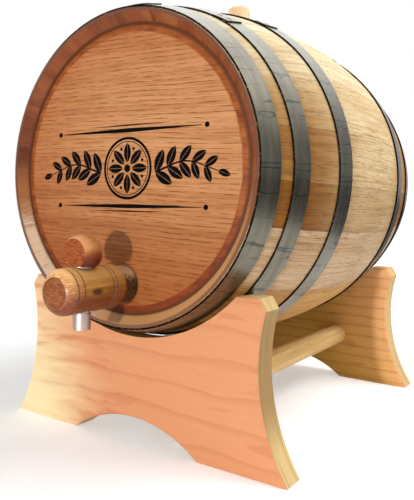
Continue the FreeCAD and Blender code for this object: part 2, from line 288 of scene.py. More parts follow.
def chime_stain(tree, outward, radius, seed):
    """Red brown stain with pale scraper marks, laid out by the way from the axis and the radius."""
    out_to_rim = add(tree, "VectorMath", {0: outward, 1: [head_radius] * 3}, operation="MULTIPLY")
    inward = add(tree, "CombineXYZ", {1: radius})
    unrolled = add(tree, "VectorMath", {0: out_to_rim, 1: inward}, operation="ADD")
    scrapes = grain(tree, unrolled, (0.7 * mm, 12 * mm, 0.7 * mm), seed, 3, 0.7)
    patches = grain(tree, unrolled, (18 * mm, 40 * mm, 18 * mm), seed + 9)
    stain = add(tree, "ValToRGB", {0: patches}, stops=[(0.32, "#602912"), (0.5, "#894722"), (0.7, "#a56537")])
    stain = tint(tree, stain, linear("#b67f50"), scrapes, 0.5, 0.78, 0.5)
    # Painted light: the stain is made more tan on the left side.
    left = add(tree, "VectorMath", {0: outward, 1: lit_left_way}, "Value", operation="DOT_PRODUCT")
    stain = tint(tree, stain, linear("#a9713a"), left, 0.8, 1.0, 0.55)
    worn = add(tree, "VectorMath", {0: outward, 1: worn_way}, "Value", operation="DOT_PRODUCT")
    stain = tint(tree, stain, linear("#d9a266"), worn, 0.5, 0.95, 0.85)
    # Painted sheen: nearly white flecks at the lower left.
    flecks = grain(tree, unrolled, (1.6 * mm, 5 * mm, 1.6 * mm), seed + 3, 3, 0.7)
    bare = add(tree, "VectorMath", {0: outward, 1: sheen_way}, "Value", operation="DOT_PRODUCT")
    bare = add(tree, "MapRange", {0: bare, 1: 0.74, 2: 0.97})
    bare = add(tree, "Math", {0: bare, 1: flecks}, operation="MULTIPLY")
    stain = tint(tree, stain, linear("#e2c4a4"), bare, 0.12, 0.5, 0.9)
    streaks = add(tree, "MapRange", {0: worn, 1: 0.5, 2: 0.8})
    streaks = add(tree, "Math", {0: streaks, 1: scrapes}, operation="MULTIPLY")
    stain = tint(tree, stain, linear("#e3c49c"), streaks, 0.5, 0.75, 0.4)
    return tint(tree, stain, linear("#653a2b"), radius, flat_start, flat_full, 0.85)


# %% Stave finish
def oak_stave(number):
    node = "stave_%02d" % number
    tone, end_shade = stave_tones_and_shades[number - 1]
    material, tree, place = begin("planed_oak_" + node)
    facing = add(tree, "TexCoord", out="Normal")
    radius, outward = about_axis(tree, place, axis_height)
    along = add(tree, "SeparateXYZ", {0: place}, "Y")
    straight = along_stave(tree, outward, along)

    fibres = grain(tree, straight, fibre, number + 40, 4, 0.65)
    pores = grain(tree, straight, pore, number, 1)
    clouds = grain(tree, straight, cloud, number + 80)
    streaks = grain(tree, straight, streak, number, 3, 0.6)
    colour = tint(tree, linear(tone), linear("#c7a468"), streaks, 0.45, 0.68, 0.45, "MULTIPLY")
    colour = tint(tree, colour, linear("#a67c42"), fibres, 0.47, 0.7, 0.6, "MULTIPLY")
    colour = tint(tree, colour, linear("#d8b884"), clouds, 0.62, 0.38, 0.4, "MULTIPLY")
    colour = tint(tree, colour, linear("#5c3a14"), pores, 0.58, 0.71, 0.55)
    # Painted shade: a darker amber towards the ends of each stave, less of it on top.
    from_middle = apart(tree, along, middle_y)
    painted_end_shade = add(tree, "MapRange", {0: from_middle, 1: end_shade_start, 2: end_shade_full})
    upness = add(tree, "SeparateXYZ", {0: outward}, "Z")
    end_shade_by_height = add(tree, "MapRange", {0: upness, 1: 0.85, 2: 0.15, 3: 0.25, 4: 1.0})
    painted_end_shade = add(tree, "Math", {0: painted_end_shade, 1: end_shade_by_height}, operation="MULTIPLY")
    colour = tint(tree, colour, linear("#aa7f22"), painted_end_shade, 0.0, 1.0, end_shade, "MULTIPLY")
    colour = draw_joints(tree, colour, place, node)

    stain = chime_stain(tree, outward, radius, number)
    from_end = add(tree, "Math", {0: from_middle, 1: half_length}, operation="SUBTRACT")
    # Painted shade down in the corner where the chime meets the head.
    stain = tint(tree, stain, linear("#5c2f15"), from_end, -corner_shade_start, -corner_shade_full)
    outside = add(tree, "VectorMath", {0: facing, 1: outward}, "Value", operation="DOT_PRODUCT")
    colour = tint(tree, colour, stain, outside, 0.6, 0.2)
    relief = add(tree, "Math", {0: fibres, 1: pores}, operation="SUBTRACT")
    roughness = add(tree, "MapRange", {0: outside, 1: 0.2, 2: 0.6, 3: 0.42, 4: 0.62})
    end(tree, colour, roughness, relief, 0.07 * mm, Specular_IOR_Level=0.3)
    return material


for number in range(1, len(stave_tones_and_shades) + 1):
    dress(["stave_%02d" % number], oak_stave(number))

# %% [markdown]
# ## Heads
# The heads are brown oak boards with the grain level. Oak opens its pores in rows, and on a flat board the
# rows show as broken dark lines between paler fibres. A wave pattern draws the rows, 2.5 mm apart, and a
# finer pattern breaks them into dashes. The head is made darker towards the bottom and towards the left,
# and a little darker at the top, which is painted shade under the chime. The bevel round the rim cuts
# across the grain and takes a deeper red brown stain, darker towards the bottom, and painted darkest
# where it meets the staves, which is painted shade in the corner.

# %% Board grain
row_gap = 2.5 * mm
one_band = 0.314             # metres from band to band of a wave pattern at scale 1


def oak_board(tree, place):
    """Level oak grain as a colour, and the dashes in it."""
    turned = add(tree, "Mapping", {"Vector": place, "Rotation": (0, -grain_turn, 0)})
    sway = grain(tree, turned, (80 * mm, 60 * mm, 36 * mm), 2, 1)
    lift = add(tree, "CombineXYZ", {2: add(tree, "Math", {0: sway, 1: 4 * mm}, operation="MULTIPLY")})
    bent = add(tree, "VectorMath", {0: turned, 1: lift}, operation="ADD")
    bands = grain(tree, bent, (200 * mm, 40 * mm, 5 * mm), 1, 3)
    fibres = grain(tree, bent, (20 * mm, 3 * mm, 0.7 * mm), 3, 3, 0.6)
    wave = {"Vector": bent, "Scale": one_band / row_gap, "Distortion": 0.9, "Detail": 1.0}
    rows = add(tree, "TexWave", wave, "Fac", wave_type="BANDS", bands_direction="Z")
    line = add(tree, "MapRange", {0: rows, 1: 0.72, 2: 1.0})
    broken = grain(tree, bent, (7 * mm, 3 * mm, 1.3 * mm), 11, 1)
    dashes = add(tree, "Math", {0: line, 1: broken}, operation="MULTIPLY")
    colour = add(tree, "ValToRGB", {0: bands}, stops=[(0.32, "#b3764a"), (0.5, "#bf8454"), (0.68, "#ca9060")])
    colour = tint(tree, colour, linear("#d9a26e"), fibres, 0.48, 0.36, 0.35)
    colour = tint(tree, colour, linear("#9d5f34"), fibres, 0.5, 0.64, 0.5)
    return tint(tree, colour, linear("#6e3818"), dashes, 0.36, 0.56, 0.75), dashes


# %% Head finish
bevel_width = 6.6 * mm
flat_edge = head_radius - bevel_width
darker_below_start, darker_below_full = axis_height + 15 * mm, axis_height - 75 * mm
top_shade_start, top_shade_full = axis_height + 30 * mm, axis_height + 80 * mm


def oak_head():
    material, tree, place = begin("stained_oak_head")
    radius = about_axis(tree, place, axis_height)[0]
    colour, dashes = oak_board(tree, place)
    across, height = [add(tree, "SeparateXYZ", {0: place}, part) for part in "XZ"]
    # Darker towards the bottom and towards the left, and painted shade under the chime at the top.
    colour = tint(tree, colour, linear("#c89746"), height, darker_below_start, darker_below_full, 0.8, "MULTIPLY")
    colour = tint(tree, colour, linear("#e8cdb4"), height, top_shade_start, top_shade_full, 0.7, "MULTIPLY")
    colour = tint(tree, colour, linear("#e3c2a6"), across, 0.0, -head_radius, 0.7, "MULTIPLY")

    worn = grain(tree, place, (14 * mm, 6 * mm, 5 * mm), 7, 4)
    ragged = add(tree, "Math", {0: worn, 1: 1.6 * mm, 2: radius}, operation="MULTIPLY_ADD")
    rim = add(tree, "ValToRGB", {0: worn}, stops=[(0.35, "#7c3a15"), (0.55, "#99511f"), (0.7, "#b0662f")])
    rim = tint(tree, rim, linear("#5e2a10"), dashes, 0.36, 0.56, 0.6)
    rim = tint(tree, rim, linear("#c58a5c"), height, axis_height, darker_below_full, 0.8, "MULTIPLY")
    # Painted shade where the bevel meets the staves.
    rim = tint(tree, rim, linear("#5c2f15"), radius, flat_edge + 2.2 * mm, flat_edge + 4.0 * mm)
    colour = tint(tree, colour, rim, ragged, flat_edge + 0.1 * mm, flat_edge + 1.1 * mm)
    relief = add(tree, "Math", {0: 1.0, 1: dashes}, operation="SUBTRACT")
    end(tree, colour, 0.55, relief, 0.12 * mm, Specular_IOR_Level=0.2)
    return material


dress(["head_front", "head_rear"], oak_head())

# %% [markdown]
# ## Printed ornament
# The front head carries an ornament in black ink, screened on: a rosette in a ring, a spray of leaves on
# each side, and a swelled rule above and below. Such ink is a film that lies on the wood, so each piece is
# a thin flat solid. Its back is let into the wood by a hair, so that no gap shows.
#
# A leaf is the shape that two circles share. A circle is bisected along a chord, the piece left over is
# mirrored in that chord, with a thin bare vein between, and a solidify modifier gives it the film's
# thickness.

# %% Ink, and how a flat piece is finished
ink_proud = 0.06 * mm
ink_sunk = 0.04 * mm
print_middle = Vector((1.5 * mm, head_face, axis_height + 1 * mm))


def black_ink():
    """Matt screen ink, rubbed thin in specks where the wood's pores show through."""
    material, tree, place = begin("matt_screen_ink")
    wear = grain(tree, place, (2.5 * mm, 1 * mm, 0.6 * mm), 4, 3, 0.7)
    colour = tint(tree, linear("#040303"), linear("#4a2c1a"), wear, 0.68, 0.78, 0.8)
    end(tree, colour, 0.7, wear, 0.01 * mm, Specular_IOR_Level=0.05)
    return material


ink = black_ink()


def start_flat(vertices, radius):
    """A filled circle that stands upright in the plane Y = 0, in edit mode."""
    bpy.ops.object.select_all(action="DESELECT")
    bpy.ops.mesh.primitive_circle_add(vertices=vertices, radius=radius, fill_type="NGON",
                                      rotation=(math.radians(90), 0, 0))
    bpy.ops.object.transform_apply(rotation=True)
    bpy.ops.object.mode_set(mode="EDIT")
    bpy.ops.mesh.select_all(action="SELECT")
    return bpy.context.object


def thicken(piece):
    """Give a flat piece the film's thickness, half a film to each side of Y = 0, faces outwards."""
    bpy.context.view_layer.objects.active = piece
    solidify = piece.modifiers.new("film", "SOLIDIFY")
    solidify.thickness = ink_proud + ink_sunk
    solidify.offset = 0.0
    bpy.ops.object.modifier_apply(modifier="film")
    bpy.ops.object.mode_set(mode="EDIT")
    bpy.ops.mesh.select_all(action="SELECT")
    bpy.ops.mesh.remove_doubles(threshold=0.001 * mm)
    bpy.ops.mesh.normals_make_consistent(inside=False)
    bpy.ops.object.mode_set(mode="OBJECT")


def place_print(pieces, name):
    """Join flat pieces into one, lay it on the head and let it ride with the cask."""
    bpy.ops.object.select_all(action="DESELECT")
    for piece in pieces:
        piece.select_set(True)
    bpy.context.view_layer.objects.active = pieces[0]
    bpy.ops.object.join()
    whole = bpy.context.object
    whole.name = name
    whole.data.name = name
    whole.location = print_middle + Vector((0, (ink_sunk - ink_proud) / 2, 0))
    bpy.ops.object.transform_apply(location=True, rotation=True, scale=True)
    whole.data.materials.clear()
    whole.data.materials.append(ink)
    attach(whole, "cask")
    print(name, "faces:", len(whole.data.polygons))


# %% Model one leaf
leaf_length = 13 * mm
leaf_width = 5.7 * mm
vein = 0.22 * mm


def make_leaf():
    """A pointed leaf that starts at the origin and points along +X."""
    half = leaf_length / 2
    rise = leaf_width / 2
    arc_radius = (half ** 2 + rise ** 2) / (2 * rise)
    chord = arc_radius - rise
    piece = start_flat(vertices=160, radius=arc_radius)
    bpy.ops.mesh.bisect(plane_co=(0, 0, chord), plane_no=(0, 0, 1), clear_inner=True, threshold=0.001 * mm)
    bpy.ops.mesh.select_all(action="SELECT")
    bpy.ops.transform.translate(value=(half, 0, vein / 2 - chord))
    bpy.ops.object.mode_set(mode="OBJECT")
    mirror = piece.modifiers.new("other_half", "MIRROR")
    mirror.use_axis = (False, False, True)
    mirror.use_mirror_merge = False
    bpy.ops.object.modifier_apply(modifier="other_half")
    thicken(piece)
    return piece


def copy_of(piece, x, z, turn=0.0, size=1.0):
    """A copy with its own mesh, turned about Y by an angle from +X towards +Z."""
    twin = piece.copy()
    twin.data = piece.data.copy()
    bpy.context.scene.collection.objects.link(twin)
    twin.location = (x, 0, z)
    twin.rotation_euler = (0, -turn, 0)
    twin.scale = (size, 1, size)
    return twin


leaf = make_leaf()
print("leaf:", len(leaf.data.polygons), "faces")

# %% [markdown]
# The rosette has eight leaves about a small disc, inside two rings. A ring is a circle whose face is inset
# and then deleted.

# %% Make the rosette
def make_disc(radius):
    piece = start_flat(vertices=24, radius=radius)
    bpy.ops.object.mode_set(mode="OBJECT")
    thicken(piece)
    return piece


def make_ring(radius, width):
    piece = start_flat(vertices=96, radius=radius)
    bpy.ops.mesh.inset(thickness=width, use_even_offset=True)
    bpy.ops.mesh.delete(type="FACE")
    bpy.ops.object.mode_set(mode="OBJECT")
    thicken(piece)
    return piece


petals = 8
petal_start = 3.2 * mm
petal_size = 0.84
dot_circle = 11.6 * mm
rosette = [
    make_ring(radius=17.4 * mm, width=1.5 * mm),
    make_ring(radius=15.1 * mm, width=0.5 * mm),
    make_disc(radius=2.2 * mm),
]
dot = make_disc(radius=0.9 * mm)
for number in range(petals):
    turn = 2 * math.pi * number / petals
    x, z = petal_start * math.cos(turn), petal_start * math.sin(turn)
    rosette.append(copy_of(leaf, x, z, turn, petal_size))
    between = turn + math.pi / petals
    rosette.append(copy_of(dot, dot_circle * math.cos(between), dot_circle * math.sin(between)))
place_print(rosette, "printed_rosette")

# %% [markdown]
# A stem and a rule are lines that swell and taper, as a pen draws them. A smooth curve with a round bevel,
# its radius set at each point, gives such a line. It is turned into a mesh and pressed flat.

# %% Draw a swelled line
def ink_line(points, width):
    """A flat line through points of x, z and width from 0 to 1, its ends closed."""
    data = bpy.data.curves.new("line", "CURVE")
    data.dimensions = "3D"
    data.bevel_depth = width / 2
    data.bevel_resolution = 1
    data.resolution_u = 10
    data.use_fill_caps = True
    spline = data.splines.new("BEZIER")
    spline.bezier_points.add(len(points) - 1)
    for point, (x, z, swell) in zip(spline.bezier_points, points):
        point.co = (x, 0, z)
        point.radius = swell
        point.handle_left_type = point.handle_right_type = "AUTO"
    line = bpy.data.objects.new("line", data)
    bpy.context.scene.collection.objects.link(line)
    bpy.ops.object.select_all(action="DESELECT")
    line.select_set(True)
    bpy.context.view_layer.objects.active = line
    bpy.ops.object.convert(target="MESH")
    line = bpy.context.object
    line.scale = (1, (ink_proud + ink_sunk) / width, 1)
    bpy.ops.object.transform_apply(scale=True)
    bpy.ops.object.mode_set(mode="EDIT")
    bpy.ops.mesh.select_all(action="SELECT")
    bpy.ops.mesh.remove_doubles(threshold=0.0001 * mm)
    bpy.ops.mesh.normals_make_consistent(inside=False)
    bpy.ops.object.mode_set(mode="OBJECT")
    return line


# %% [markdown]
# A spray is one stem with pairs of leaves that shorten towards its tip. The left one is laid out like the
# right one, with every X and every turn the other way, so no shape is turned inside out.

# %% Make the sprays and the rules
spray_start = 20 * mm
spray_end = 60 * mm
pairs = 5
leaf_lean = math.radians(48)
stem_width = 1.4 * mm
tip_leaf = 0.6


def stem_height(reach):
    """Height of the stem at 0 to 1 along its reach: a shallow S."""
    return 3 * mm * math.sin(math.pi * (1.6 * reach - 0.3))


def make_spray(side):
    """The stem and leaves of one spray, on the right for side 1 and on the left for side -1."""
    stem = []
    for step in range(pairs + 1):
        reach = step / pairs
        x = spray_start + reach * (spray_end - spray_start)
        stem.append((side * x, stem_height(reach), 1.0 - 0.6 * reach))
    parts = [ink_line(stem, stem_width)]
    for (x, z, swell), (next_x, next_z, _) in zip(stem, stem[1:]):
        heading = math.atan2(next_z - z, next_x - x)
        for lean in (-leaf_lean, leaf_lean):
            parts.append(copy_of(leaf, x, z, heading + lean, 0.4 + 0.6 * swell))
    parts.append(copy_of(leaf, next_x, next_z, heading, tip_leaf))
    return parts


rule_half = 50 * mm
rule_height = 21 * mm
rule_step = 2.8 * mm
end_dot_gap = 3 * mm
end_dot_size = 1.6
rule_shapes = [              # half length, height and width
    (rule_half, rule_height, 2.8 * mm),
    (0.6 * rule_half, rule_height + rule_step, 1.0 * mm),
]
rules = []
for up in (1, -1):
    for reach, height, width in rule_shapes:
        swells = [(-reach, 0.12), (-reach / 2, 0.6), (0, 1.0), (reach / 2, 0.6), (reach, 0.12)]
        rules.append(ink_line([(x, up * height, swell) for x, swell in swells], width))
    for side in (1, -1):
        x = side * (rule_half + end_dot_gap)
        rules.append(copy_of(dot, x, up * rule_height, size=end_dot_size))
place_print(make_spray(1), "printed_spray_right")
place_print(make_spray(-1), "printed_spray_left")
place_print(rules, "printed_rules")
for pattern in (leaf, dot):
    bpy.data.objects.remove(pattern)

# %% [markdown]
# ## Hoops
# The hoops are hot rolled steel strip, blackened by its mill scale. It is a metal, dark, smooth and a
# little uneven, so it mirrors its surroundings softly, drawn out along the strip by the rolls. Soft dark
# wavy lines are painted right across the strip, about 6 mm apart, as painted reflections of the uneven
# strip: they lie where a pattern that is long across the strip and short round it passes through one half.
# The sheared edges are black, with small bright specks, partly wear and partly painted highlights, and are
# painted paler on the left side, which is a painted highlight.

# %% Hoop finish
reflection_line_gap = 6.5 * mm
reflection_line_sway = 2.5 * mm


def blackened_steel():
    material, tree, place = begin("blackened_mild_steel")
    facing = add(tree, "TexCoord", out="Normal")
    outward = about_axis(tree, place, axis_height)[1]
    along = add(tree, "SeparateXYZ", {0: place}, "Y")
    round_strip = along_stave(tree, outward, along)
    haze = grain(tree, round_strip, (30 * mm, 4 * mm, 30 * mm), 0, 4, 0.6)
    colour = add(tree, "ValToRGB", {0: haze}, stops=[(0.3, "#625f54"), (0.5, "#706c60"), (0.7, "#817d70")])
    # Painted reflections of an uneven strip: soft dark wavy lines right across it.
    sway = grain(tree, round_strip, (9 * mm, 6 * mm, 9 * mm), 12, 1)
    wavy = add(tree, "Math", {0: sway, 1: reflection_line_sway}, operation="MULTIPLY")
    wavy = add(tree, "CombineXYZ", {0: wavy, 2: wavy})
    wavy = add(tree, "VectorMath", {0: round_strip, 1: wavy}, operation="ADD")
    bent = grain(tree, wavy, (reflection_line_gap, 160 * mm, reflection_line_gap), 6, 0, 0.4)
    broken = grain(tree, round_strip, (16 * mm, 12 * mm, 16 * mm), 8, 1)
    line = add(tree, "MapRange", {0: apart(tree, bent, 0.5), 1: 0.06, 2: 0.0},
               interpolation_type="SMOOTHSTEP")
    line = add(tree, "Math", {0: line, 1: broken}, operation="MULTIPLY")
    colour = tint(tree, colour, linear("#2b2d2e"), line, 0.26, 0.55, 0.6)

    edge_on = apart(tree, add(tree, "SeparateXYZ", {0: facing}, "Y"), 0.0)
    # Painted highlights: bright specks on the edges, partly wear, and paler edges on the left side.
    specks = grain(tree, place, (0.9 * mm, 0.9 * mm, 0.9 * mm), 2, 2)
    edge = tint(tree, linear("#1d1814"), linear("#c79b8c"), specks, 0.62, 0.7, 0.9)
    sideways = add(tree, "SeparateXYZ", {0: outward}, "X")
    edge = tint(tree, edge, linear("#e8c9bb"), sideways, -0.5, -0.9, 0.8)
    colour = tint(tree, colour, edge, edge_on, 0.75, 0.9)
    dents = grain(tree, round_strip, (26 * mm, 5 * mm, 26 * mm), 4, 2)
    roughness = add(tree, "MapRange", {0: haze, 1: 0.3, 2: 0.7, 3: 0.24, 4: 0.34})
    end(tree, colour, roughness, dents, 0.15 * mm, Metallic=1.0)
    return material


dress([name for name in nodes if name.startswith("hoop_")], blackened_steel())

# %% [markdown]
# ## Spigot
# The spigot and its knob are turned from a warm hardwood and waxed. The grain of the body runs along its
# own axis, with a small dark knot on its side, and the nose and its end face are redder end grain. The
# grooves are burnt brown. The top is painted paler, which is painted light from above, and the undersides
# darker, which is painted shade. Where the shank enters the head it is painted nearly black below, the
# painted shade of the body, and pale on top, which is painted light, with crumbs of old wax.

# %% Turned and waxed wood
wax_film = {"Specular_IOR_Level": 0.35, "Coat_Weight": 0.12, "Coat_Roughness": 0.2}


def turned_grain(tree, place):
    """Grain along Y for a small turning, and its fibres."""
    rings = grain(tree, place, (2.2 * mm, 26 * mm, 2.2 * mm), 0, 4, 0.6)
    fibres = grain(tree, place, (0.6 * mm, 7 * mm, 0.6 * mm), 6, 3, 0.6)
    clouds = grain(tree, place, (9 * mm, 12 * mm, 9 * mm), 8, 2)
    colour = add(tree, "ValToRGB", {0: rings}, stops=[(0.3, "#a0622a"), (0.5, "#c88a45"), (0.68, "#e4aa60")])
    colour = tint(tree, colour, linear("#ad8636"), clouds, 0.45, 0.68, 0.6)
    return tint(tree, colour, linear("#6b3a17"), fibres, 0.52, 0.7, 0.6), fibres


def end_grain(tree, place, dark, middle, pale):
    """Mottled end grain in three tones."""
    mottle = grain(tree, place, (3 * mm, 3 * mm, 0.8 * mm), 3, 3, 0.6)
    return add(tree, "ValToRGB", {0: mottle}, stops=[(0.34, dark), (0.5, middle), (0.68, pale)])


def painted_shade_below(tree, colour, facing):
    """Painted shade: darken the undersides, and give back the colour and how far a point faces up."""
    up = add(tree, "SeparateXYZ", {0: facing}, "Z")
    return tint(tree, colour, linear("#8f4a1e"), up, 0.45, -0.45, 0.9, "MULTIPLY"), up


# %% Spigot body
shank_end = 8.5 * mm         # stations are distances out from the head's face
groove_stations = [17.6 * mm, 20.2 * mm, 41.3 * mm, 45.6 * mm]
nose_station = 46.5 * mm
face_ring = 7.2 * mm
burnt = "#74401a"
knot_place = Vector((12 * mm, -33 * mm + head_face, spigot_height))
knot_stretch = (1, 0.45, 1)


def spigot_wood():
    material, tree, place = begin("waxed_turned_spigot")
    facing = add(tree, "TexCoord", out="Normal")
    colour, fibres = turned_grain(tree, place)
    along = add(tree, "SeparateXYZ", {0: place}, "Y")
    station = add(tree, "Math", {0: head_face, 1: along}, operation="SUBTRACT")
    nose = end_grain(tree, place, "#a86432", "#cb8e56", "#f2c592")
    colour = tint(tree, colour, nose, station, nose_station - 6 * mm, nose_station, 0.9)
    disc = end_grain(tree, place, "#8a4620", "#ad6633", "#c98349")
    front = add(tree, "SeparateXYZ", {0: facing}, "Y")
    colour = tint(tree, colour, disc, front, -0.9, -0.99)
    to_knot = add(tree, "VectorMath", {0: place, 1: knot_place}, operation="SUBTRACT")
    to_knot = add(tree, "VectorMath", {0: to_knot, 1: knot_stretch}, operation="MULTIPLY")
    to_knot = add(tree, "VectorMath", {0: to_knot}, "Value", operation="LENGTH")
    colour = tint(tree, colour, linear("#3a230e"), to_knot, 2.4 * mm, 0.8 * mm, 0.85)
    # Painted shade on the undersides, and painted light on the top.
    colour, up = painted_shade_below(tree, colour, facing)
    colour = tint(tree, colour, linear("#f6c275"), up, 0.25, 0.9, 0.75)

    # Painted shade and light at the shank: nearly black below, pale on top, with crumbs of wax.
    blotches = grain(tree, place, (3 * mm, 3 * mm, 3 * mm), 9, 3)
    shank_shade = add(tree, "Math", {0: blotches, 1: up}, operation="SUBTRACT")
    stain = tint(tree, linear("#e4cba2"), linear("#33200f"), shank_shade, -0.25, 0.25)
    wax = grain(tree, place, (1.3 * mm, 1.3 * mm, 1.3 * mm), 11, 3, 0.7)
    stain = tint(tree, stain, linear("#8d8169"), wax, 0.5, 0.62, 0.5)
    colour = tint(tree, colour, stain, station, shank_end + 3 * mm, shank_end, 0.95)
    for groove in groove_stations:
        off = apart(tree, station, groove)
        colour = tint(tree, colour, linear(burnt), off, 0.7 * mm, 0.2 * mm, 0.8)
    off = apart(tree, about_axis(tree, place, spigot_height)[0], face_ring)
    in_disc = tint(tree, colour, linear(burnt), off, 0.8 * mm, 0.2 * mm, 0.8)
    colour = tint(tree, colour, in_disc, station, nose_station + 3 * mm, nose_station + 4 * mm)
    end(tree, colour, 0.45, fibres, 0.06 * mm, **wax_film)
    return material


dress(["spigot_body"], spigot_wood())

# %% [markdown]
# The knob is a ball turned on a level axis. Its two flat ends show darker, redder end grain. It is painted
# darker on its undersides, most low down on one side, which is painted shade.

# %% Spigot knob
shade_way = Vector((0.72, 0.0, -0.69))


def knob_wood():
    material, tree, place = begin("waxed_turned_knob")
    facing = add(tree, "TexCoord", out="Normal")
    colour, fibres = turned_grain(tree, place)
    colour = tint(tree, colour, linear("#dd9660"), fibres, 0.25, 0.55, 0.75)
    flat = apart(tree, add(tree, "SeparateXYZ", {0: facing}, "Y"), 0.0)
    disc = end_grain(tree, place, "#883a0f", "#b65e20", "#d47f3e")
    colour = tint(tree, colour, disc, flat, 0.985, 0.998)
    # Painted shade on the undersides, most low down on one side.
    colour = painted_shade_below(tree, colour, facing)[0]
    shaded_side = add(tree, "VectorMath", {0: facing, 1: shade_way}, "Value", operation="DOT_PRODUCT")
    colour = tint(tree, colour, linear("#b06428"), shaded_side, 0.3, 0.9, 0.9, "MULTIPLY")
    end(tree, colour, 0.42, fibres, 0.08 * mm, **wax_film)
    return material


dress(["key_knob"], knob_wood())

# %% [markdown]
# ## Spout, washer and liner
# The spout and washer are aluminium tube, drawn bright and then brushed round by hand, which leaves a satin
# face with fine rings. The liner that the key turns in is moulded nylon, off white and dull.

# %% Satin aluminium and moulded nylon
def satin_aluminium():
    material, tree, place = begin("satin_aluminium")
    rings = grain(tree, place, (20 * mm, 20 * mm, 0.35 * mm))
    colour = add(tree, "ValToRGB", {0: rings}, stops=[(0.3, "#b9ada6"), (0.7, "#cbbfb8")])
    roughness = add(tree, "MapRange", {0: rings, 1: 0.3, 2: 0.7, 3: 0.42, 4: 0.5})
    end(tree, colour, roughness, rings, 0.004 * mm, Metallic=1.0)
    return material


def moulded_nylon():
    material, tree, place = begin("moulded_nylon")
    skin = grain(tree, place, (0.5 * mm, 0.5 * mm, 0.5 * mm), 0, 2)
    colour = add(tree, "ValToRGB", {0: skin}, stops=[(0.3, "#d8d4c8"), (0.7, "#e4e1d7")])
    end(tree, colour, 0.5, skin, 0.01 * mm)
    return material


dress(["key_tube", "key_washer"], satin_aluminium())
dress(["spigot_liner"], moulded_nylon())

# %% [markdown]
# ## Bung
# The bung is turned from beech and left bare: pale, with short darker flecks along its grain, which runs up
# and down.

# %% Bung finish
def bare_beech():
    material, tree, place = begin("bare_beech")
    bands = grain(tree, place, (3 * mm, 3 * mm, 22 * mm))
    flecks = grain(tree, place, (0.7 * mm, 0.7 * mm, 3.5 * mm), 4, 2)
    colour = add(tree, "ValToRGB", {0: bands}, stops=[(0.3, "#e8bb8a"), (0.7, "#fbe0b8")])
    colour = tint(tree, colour, linear("#b98550"), flecks, 0.56, 0.7, 0.6)
    end(tree, colour, 0.55, flecks, 0.05 * mm, Specular_IOR_Level=0.35)
    return material


dress(["bung"], bare_beech())

# %% [markdown]
# ## Pine stand
# The plates are flat sawn pine with the grain level. Each year's growth starts pale and ends in a darker
# line, so the rings show as thin level lines, one side sharp and the other soft, with broader figure lower
# down. Each plate goes from one tone at its lower left to another at its upper right. On the front plate
# these are pale yellow sapwood and salmon heartwood, and the pale lower left is partly painted light, where
# the rings have almost faded. On the rear plate the salmon is painted light, in the strip at the right that
# the key lamp reaches, and the olive tone over the rest is painted shade. The sawn edges show the rings end
# on, as fine lines. Where an edge stands square to the grain it is painted darker, and where it slopes, at
# the feet and the horns, paler: painted shade and painted light from above.

# %% Pine plates
def planed_pine(name, tones, seed, ring_gap, bend, tone_edge, plain_left):
    """Flat sawn pine. Tones are the left tone, the right tone, ring line, sloping edge and square edge. On
    the front plate the left and right tones are sapwood, partly painted light, and heartwood; on the rear
    plate they are painted shade and painted light.
    """
    material, tree, place = begin(name)
    facing = add(tree, "TexCoord", out="Normal")
    left_tone, right_tone, line, sloping, square = [linear(tone) for tone in tones]
    sway = grain(tree, place, (95 * mm, 300 * mm, 40 * mm), seed, 2)
    lift = add(tree, "CombineXYZ", {2: add(tree, "Math", {0: sway, 1: bend}, operation="MULTIPLY")})
    bent = add(tree, "VectorMath", {0: place, 1: lift}, operation="ADD")
    wave = {"Vector": bent, "Scale": one_band / ring_gap, "Distortion": 0.8, "Detail": 2.0}
    rings = add(tree, "TexWave", wave, "Fac", wave_type="BANDS", bands_direction="Z", wave_profile="SAW")
    fibres = grain(tree, bent, (34 * mm, 30 * mm, 1.0 * mm), seed + 2, 4, 0.6)
    figure = grain(tree, bent, (46 * mm, 200 * mm, 9 * mm), seed + 6, 3, 0.55)
    x, z = [add(tree, "SeparateXYZ", {0: place}, part) for part in "XZ"]
    across = add(tree, "Math", {0: z, 1: 0.5, 2: x}, operation="MULTIPLY_ADD")
    across = add(tree, "Math", {0: figure, 1: 70 * mm, 2: across}, operation="MULTIPLY_ADD")
    # Left tone to right tone: sapwood to heartwood on the front plate, with painted light on its pale lower
    # left; painted shade to painted light on the rear plate.
    colour = tint(tree, left_tone, right_tone, across, tone_edge - 45 * mm, tone_edge + 45 * mm)
    lined = tint(tree, colour, line, rings, 0.7, 1.0, 0.4)
    lined = tint(tree, lined, line, figure, 0.56, 0.64, 0.42)
    lined = tint(tree, lined, line, fibres, 0.5, 0.75, 0.3)
    colour = tint(tree, lined, colour, across, tone_edge + 30 * mm, tone_edge - 30 * mm, plain_left)
    end_lines = grain(tree, place, (60 * mm, 0.8 * mm, 60 * mm), seed + 5, 4, 0.6)
    sideways, level = [apart(tree, add(tree, "SeparateXYZ", {0: facing}, part), 0.0) for part in "XY"]
    # Painted light and shade: sloping edges paler, square edges darker.
    edge = tint(tree, sloping, square, sideways, 0.9, 0.99)
    edge = tint(tree, edge, linear("#8f6c3a"), end_lines, 0.48, 0.66, 0.6)
    colour = tint(tree, colour, edge, level, 0.6, 0.3)
    end(tree, colour, 0.55, fibres, 0.06 * mm, Specular_IOR_Level=0.3)
    return material


front_tones = ("#ffecb8", "#df986a", "#c8774e", "#e9c98b", "#b08c56")
rear_tones = ("#d6a449", "#f6b67c", "#a4622a", "#e8c085", "#e8c085")
dress(["stand_plate_front"], planed_pine(
    "planed_pine_front", front_tones,
    seed=1, ring_gap=17 * mm, bend=20 * mm, tone_edge=-8 * mm, plain_left=0.8))
dress(["stand_plate_rear"], planed_pine(
    "planed_pine_rear", rear_tones,
    seed=5, ring_gap=8 * mm, bend=8 * mm, tone_edge=122 * mm, plain_left=0.0))

